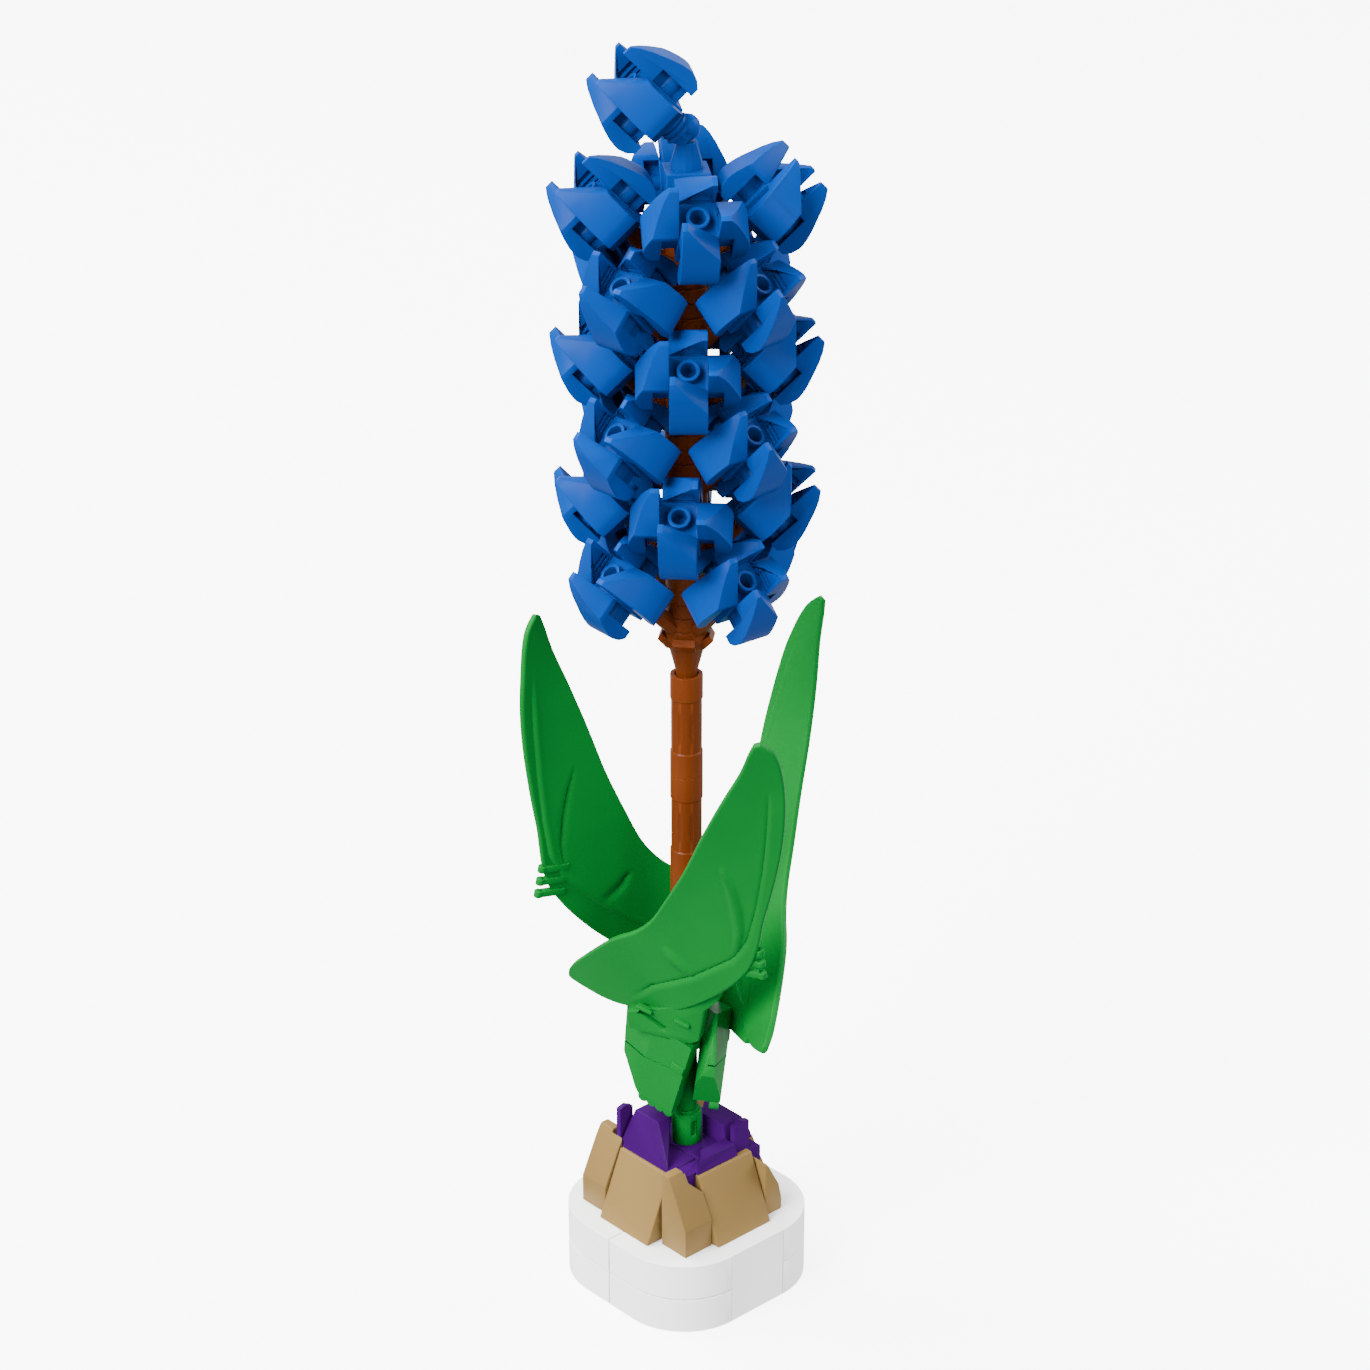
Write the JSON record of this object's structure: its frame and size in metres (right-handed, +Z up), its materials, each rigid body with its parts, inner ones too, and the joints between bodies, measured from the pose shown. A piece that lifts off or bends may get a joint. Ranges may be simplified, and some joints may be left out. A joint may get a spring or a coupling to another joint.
{
  "type": "brick-built hyacinth flower with bulb",
  "caption": "Brick-built hyacinth: a blue flower spike of petalled florets on a brown stem with swept green leaves, growing from a tan bulb on a white rounded base.",
  "frame": {"origin": "middle of the base's underside, on the stem's axis", "axes": "+Z up along the stem; the base's straight sides face along X and Y, and the front side with the insert faces -Y"},
  "size_m": [0.0836, 0.0749, 0.2911],
  "materials": {
    "blue_plastic": "smooth moulded",
    "brown_plastic": "smooth moulded",
    "green_plastic": "smooth moulded",
    "purple_plastic": "smooth moulded",
    "tan_plastic": "smooth moulded",
    "white_plastic": "smooth moulded"
  },
  "bodies": {
    "root": {"base_corner_lower_back_left": "white_plastic", "base_corner_lower_back_right": "white_plastic", "base_corner_lower_front_left": "white_plastic", "base_corner_lower_front_right": "white_plastic", "base_corner_upper_back_left": "white_plastic", "base_corner_upper_back_right": "white_plastic", "base_corner_upper_front_left": "white_plastic", "base_corner_upper_front_right": "white_plastic", "base_insert_back": "white_plastic", "base_insert_front": "white_plastic", "bulb_corner_back": "tan_plastic", "bulb_corner_front": "tan_plastic", "bulb_corner_left": "tan_plastic", "bulb_corner_right": "tan_plastic", "bulb_face_back": "tan_plastic", "bulb_face_front": "tan_plastic", "bulb_face_left": "tan_plastic", "bulb_face_right": "tan_plastic", "bulb_heart_back": "purple_plastic", "bulb_heart_front": "purple_plastic", "bulb_heart_left": "purple_plastic", "bulb_heart_right": "purple_plastic", "crown_cone": "blue_plastic", "crown_elbow": "blue_plastic", "floret_1_1": "blue_plastic", "floret_1_2": "blue_plastic", "floret_1_3": "blue_plastic", "floret_1_4": "blue_plastic", "floret_2_1": "blue_plastic", "floret_2_2": "blue_plastic", "floret_2_3": "blue_plastic", "floret_2_4": "blue_plastic", "floret_3_1": "blue_plastic", "floret_3_2": "blue_plastic", "floret_3_3": "blue_plastic", "floret_3_4": "blue_plastic", "floret_4_1": "blue_plastic", "floret_4_2": "blue_plastic", "floret_4_3": "blue_plastic", "floret_4_4": "blue_plastic", "floret_5_1": "blue_plastic", "floret_5_2": "blue_plastic", "floret_5_3": "blue_plastic", "floret_5_4": "blue_plastic", "floret_6_1": "blue_plastic", "floret_6_2": "blue_plastic", "floret_6_3": "blue_plastic", "floret_6_4": "blue_plastic", "floret_top": "blue_plastic", "foot_tube": "green_plastic", "leaf_back": "green_plastic", "leaf_bracket_back": "green_plastic", "leaf_bracket_front": "green_plastic", "leaf_bracket_left": "green_plastic", "leaf_front": "green_plastic", "leaf_left": "green_plastic", "spine": "brown_plastic", "stem_tube_lower": "brown_plastic", "stem_tube_middle": "brown_plastic", "stem_tube_upper": "brown_plastic"}
  },
  "joints": []
}
